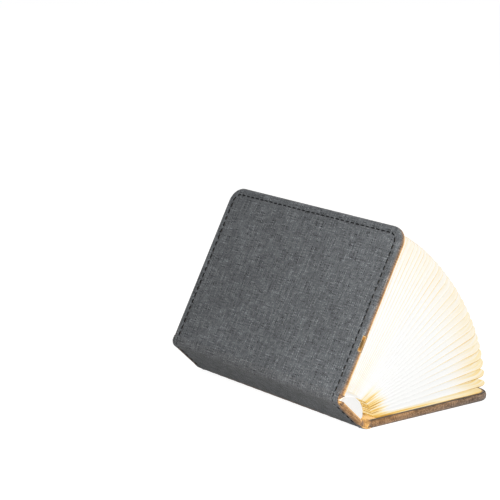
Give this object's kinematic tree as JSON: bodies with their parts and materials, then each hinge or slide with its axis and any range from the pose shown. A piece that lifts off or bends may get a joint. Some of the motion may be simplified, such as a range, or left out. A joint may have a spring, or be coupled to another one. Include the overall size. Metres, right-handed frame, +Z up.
{
  "type": "folding book lamp",
  "caption": "Lamp shaped as a small book: cloth covers hinged to a spine with a light bar, and a fan of pages that opens between them and spreads its light.",
  "frame": {"origin": "middle of the back cover's outer face, which lies on the table", "axes": "+Z up out of the back cover's outer face, +Y along the spine from the tail of the book to its head, +X from the back hinge to the back cover's fore-edge"},
  "size_m": [0.105, 0.125, 0.0938],
  "materials": {
    "slate_linen": "woven, matt",
    "hinge_linen": "woven, matt, light shows through",
    "stitch_thread": "twisted thread",
    "fibreboard": "pressed fibre, sawn edges",
    "lining_paper": "matt",
    "page_paper": "matt, translucent, lit from inside",
    "diffuser_plastic": "frosted, translucent, lit from inside",
    "end_cap_plastic": "frosted",
    "magnet_nickel": "nickel plated",
    "tray_aluminium": "satin",
    "led_board_white": "white solder mask",
    "chip_phosphor": "clear resin over phosphor, lit",
    "screw_steel": "zinc plated",
    "flex_film": "copper under film",
    "battery_foil": "laminated foil pouch",
    "lead_sleeve": "insulated wire",
    "board_green": "green solder mask",
    "socket_steel": "tin plated",
    "black_plastic": "moulded"
  },
  "bodies": {
    "back_cover": {"back_cover_board": "fibreboard", "back_cover_cloth": "slate_linen", "back_cover_lining": "lining_paper", "back_cover_magnets": "magnet_nickel", "back_cover_stitching": "stitch_thread", "back_end_leaf": "page_paper"},
    "spine": {"spine_board": "fibreboard", "spine_cloth": "slate_linen", "spine_stitching": "stitch_thread", "led_tray": "tray_aluminium", "led_board": "led_board_white", "led_chips": "chip_phosphor", "tray_screws": "screw_steel", "diffuser": "diffuser_plastic", "tail_end_cap": "end_cap_plastic", "head_end_cap": "end_cap_plastic", "page_binding": "page_paper", "back_hinge_cloth": "hinge_linen"},
    "front_cover": {"front_cover_board": "fibreboard", "front_cover_cloth": "slate_linen", "front_cover_lining": "lining_paper", "front_cover_magnets": "magnet_nickel", "front_cover_stitching": "stitch_thread", "front_end_leaf": "page_paper", "battery_cell": "battery_foil", "battery_lead": "lead_sleeve", "control_board": "board_green", "charge_socket": "socket_steel", "socket_tongue": "black_plastic", "fold_switch": "black_plastic", "lamp_lead": "flex_film", "front_hinge_cloth": "hinge_linen"},
    "page_01_body": {"page_01": "page_paper"},
    "page_02_body": {"page_02": "page_paper"},
    "page_03_body": {"page_03": "page_paper"},
    "page_04_body": {"page_04": "page_paper"},
    "page_05_body": {"page_05": "page_paper"},
    "page_06_body": {"page_06": "page_paper"},
    "page_07_body": {"page_07": "page_paper"},
    "page_08_body": {"page_08": "page_paper"},
    "page_09_body": {"page_09": "page_paper"},
    "page_10_body": {"page_10": "page_paper"},
    "page_11_body": {"page_11": "page_paper"},
    "page_12_body": {"page_12": "page_paper"},
    "page_13_body": {"page_13": "page_paper"},
    "page_14_body": {"page_14": "page_paper"},
    "page_15_body": {"page_15": "page_paper"},
    "page_16_body": {"page_16": "page_paper"},
    "page_17_body": {"page_17": "page_paper"},
    "page_18_body": {"page_18": "page_paper"},
    "page_19_body": {"page_19": "page_paper"},
    "page_20_body": {"page_20": "page_paper"},
    "page_21_body": {"page_21": "page_paper"},
    "page_22_body": {"page_22": "page_paper"},
    "page_23_body": {"page_23": "page_paper"},
    "page_24_body": {"page_24": "page_paper"},
    "page_25_body": {"page_25": "page_paper"},
    "page_26_body": {"page_26": "page_paper"},
    "page_27_body": {"page_27": "page_paper"},
    "page_28_body": {"page_28": "page_paper"}
  },
  "joints": [
    {"name": "back_hinge", "type": "hinge", "parent": "back_cover", "child": "spine", "pos_m": [-0.04325, 0, 0], "axis": [0, -1, 0], "range_deg": [-48, 140], "deforming": ["back_hinge_cloth"]},
    {"name": "front_hinge", "type": "hinge", "parent": "spine", "child": "front_cover", "pos_m": [-0.06183, 0, 0.01673], "axis": [0, -1, 0], "range_deg": [-15, 173], "deforming": ["front_hinge_cloth", "lamp_lead"]},
    {"name": "page_01_turn", "type": "hinge", "parent": "spine", "child": "page_01_body", "pos_m": [-0.04296, 0, 0.0009], "axis": [0, -1, 0], "range_deg": [-136.13, 46.69]},
    {"name": "page_02_turn", "type": "hinge", "parent": "spine", "child": "page_02_body", "pos_m": [-0.04274, 0, 0.00186], "axis": [0, -1, 0], "range_deg": [-128.35, 44.02]},
    {"name": "page_03_turn", "type": "hinge", "parent": "spine", "child": "page_03_body", "pos_m": [-0.0426, 0, 0.00285], "axis": [0, -1, 0], "range_deg": [-120.58, 41.35]},
    {"name": "page_04_turn", "type": "hinge", "parent": "spine", "child": "page_04_body", "pos_m": [-0.04254, 0, 0.00388], "axis": [0, -1, 0], "range_deg": [-112.8, 38.69]},
    {"name": "page_05_turn", "type": "hinge", "parent": "spine", "child": "page_05_body", "pos_m": [-0.04257, 0, 0.00494], "axis": [0, -1, 0], "range_deg": [-105.02, 36.02]},
    {"name": "page_06_turn", "type": "hinge", "parent": "spine", "child": "page_06_body", "pos_m": [-0.04268, 0, 0.00601], "axis": [0, -1, 0], "range_deg": [-97.24, 33.35]},
    {"name": "page_07_turn", "type": "hinge", "parent": "spine", "child": "page_07_body", "pos_m": [-0.04289, 0, 0.00708], "axis": [0, -1, 0], "range_deg": [-89.46, 30.69]},
    {"name": "page_08_turn", "type": "hinge", "parent": "spine", "child": "page_08_body", "pos_m": [-0.04319, 0, 0.00815], "axis": [0, -1, 0], "range_deg": [-81.69, 28.02]},
    {"name": "page_09_turn", "type": "hinge", "parent": "spine", "child": "page_09_body", "pos_m": [-0.04357, 0, 0.0092], "axis": [0, -1, 0], "range_deg": [-73.91, 25.35]},
    {"name": "page_10_turn", "type": "hinge", "parent": "spine", "child": "page_10_body", "pos_m": [-0.04405, 0, 0.01023], "axis": [0, -1, 0], "range_deg": [-66.13, 22.69]},
    {"name": "page_11_turn", "type": "hinge", "parent": "spine", "child": "page_11_body", "pos_m": [-0.04461, 0, 0.01122], "axis": [0, -1, 0], "range_deg": [-58.35, 20.02]},
    {"name": "page_12_turn", "type": "hinge", "parent": "spine", "child": "page_12_body", "pos_m": [-0.04525, 0, 0.01217], "axis": [0, -1, 0], "range_deg": [-50.58, 17.35]},
    {"name": "page_13_turn", "type": "hinge", "parent": "spine", "child": "page_13_body", "pos_m": [-0.04597, 0, 0.01307], "axis": [0, -1, 0], "range_deg": [-42.8, 14.69]},
    {"name": "page_14_turn", "type": "hinge", "parent": "spine", "child": "page_14_body", "pos_m": [-0.04676, 0, 0.01391], "axis": [0, -1, 0], "range_deg": [-35.02, 12.02]},
    {"name": "page_15_turn", "type": "hinge", "parent": "spine", "child": "page_15_body", "pos_m": [-0.04762, 0, 0.01469], "axis": [0, -1, 0], "range_deg": [-27.24, 9.35]},
    {"name": "page_16_turn", "type": "hinge", "parent": "spine", "child": "page_16_body", "pos_m": [-0.04854, 0, 0.01539], "axis": [0, -1, 0], "range_deg": [-19.46, 6.69]},
    {"name": "page_17_turn", "type": "hinge", "parent": "spine", "child": "page_17_body", "pos_m": [-0.04951, 0, 0.01601], "axis": [0, -1, 0], "range_deg": [-11.69, 4.02]},
    {"name": "page_18_turn", "type": "hinge", "parent": "spine", "child": "page_18_body", "pos_m": [-0.05053, 0, 0.01655], "axis": [0, -1, 0], "range_deg": [-3.91, 1.35]},
    {"name": "page_19_turn", "type": "hinge", "parent": "spine", "child": "page_19_body", "pos_m": [-0.05157, 0, 0.01701], "axis": [0, -1, 0], "range_deg": [-0.77, 8.67]},
    {"name": "page_20_turn", "type": "hinge", "parent": "spine", "child": "page_20_body", "pos_m": [-0.05265, 0, 0.01737], "axis": [0, -1, 0], "range_deg": [-2.27, 25.97]},
    {"name": "page_21_turn", "type": "hinge", "parent": "spine", "child": "page_21_body", "pos_m": [-0.05373, 0, 0.01764], "axis": [0, -1, 0], "range_deg": [-3.77, 43.27]},
    {"name": "page_22_turn", "type": "hinge", "parent": "spine", "child": "page_22_body", "pos_m": [-0.05483, 0, 0.01783], "axis": [0, -1, 0], "range_deg": [-5.27, 60.57]},
    {"name": "page_23_turn", "type": "hinge", "parent": "spine", "child": "page_23_body", "pos_m": [-0.05592, 0, 0.01792], "axis": [0, -1, 0], "range_deg": [-6.77, 77.87]},
    {"name": "page_24_turn", "type": "hinge", "parent": "spine", "child": "page_24_body", "pos_m": [-0.05699, 0, 0.01792], "axis": [0, -1, 0], "range_deg": [-8.27, 95.17]},
    {"name": "page_25_turn", "type": "hinge", "parent": "spine", "child": "page_25_body", "pos_m": [-0.05804, 0, 0.01784], "axis": [0, -1, 0], "range_deg": [-9.77, 112.47]},
    {"name": "page_26_turn", "type": "hinge", "parent": "spine", "child": "page_26_body", "pos_m": [-0.05906, 0, 0.01767], "axis": [0, -1, 0], "range_deg": [-11.27, 129.77]},
    {"name": "page_27_turn", "type": "hinge", "parent": "spine", "child": "page_27_body", "pos_m": [-0.06004, 0, 0.01743], "axis": [0, -1, 0], "range_deg": [-12.77, 147.07]},
    {"name": "page_28_turn", "type": "hinge", "parent": "spine", "child": "page_28_body", "pos_m": [-0.06096, 0, 0.01711], "axis": [0, -1, 0], "range_deg": [-14.27, 164.37]}
  ],
  "couplings": [
    {"joint": "page_01_turn", "follows": "back_hinge", "ratio": -0.97222},
    {"joint": "page_02_turn", "follows": "back_hinge", "ratio": -0.91667},
    {"joint": "page_03_turn", "follows": "back_hinge", "ratio": -0.86111},
    {"joint": "page_04_turn", "follows": "back_hinge", "ratio": -0.80556},
    {"joint": "page_05_turn", "follows": "back_hinge", "ratio": -0.75},
    {"joint": "page_06_turn", "follows": "back_hinge", "ratio": -0.69444},
    {"joint": "page_07_turn", "follows": "back_hinge", "ratio": -0.63889},
    {"joint": "page_08_turn", "follows": "back_hinge", "ratio": -0.58333},
    {"joint": "page_09_turn", "follows": "back_hinge", "ratio": -0.52778},
    {"joint": "page_10_turn", "follows": "back_hinge", "ratio": -0.47222},
    {"joint": "page_11_turn", "follows": "back_hinge", "ratio": -0.41667},
    {"joint": "page_12_turn", "follows": "back_hinge", "ratio": -0.36111},
    {"joint": "page_13_turn", "follows": "back_hinge", "ratio": -0.30556},
    {"joint": "page_14_turn", "follows": "back_hinge", "ratio": -0.25},
    {"joint": "page_15_turn", "follows": "back_hinge", "ratio": -0.19444},
    {"joint": "page_16_turn", "follows": "back_hinge", "ratio": -0.13889},
    {"joint": "page_17_turn", "follows": "back_hinge", "ratio": -0.083333},
    {"joint": "page_18_turn", "follows": "back_hinge", "ratio": -0.027778},
    {"joint": "page_19_turn", "follows": "front_hinge", "ratio": 0.05},
    {"joint": "page_20_turn", "follows": "front_hinge", "ratio": 0.15},
    {"joint": "page_21_turn", "follows": "front_hinge", "ratio": 0.25},
    {"joint": "page_22_turn", "follows": "front_hinge", "ratio": 0.35},
    {"joint": "page_23_turn", "follows": "front_hinge", "ratio": 0.45},
    {"joint": "page_24_turn", "follows": "front_hinge", "ratio": 0.55},
    {"joint": "page_25_turn", "follows": "front_hinge", "ratio": 0.65},
    {"joint": "page_26_turn", "follows": "front_hinge", "ratio": 0.75},
    {"joint": "page_27_turn", "follows": "front_hinge", "ratio": 0.85},
    {"joint": "page_28_turn", "follows": "front_hinge", "ratio": 0.95}
  ]
}
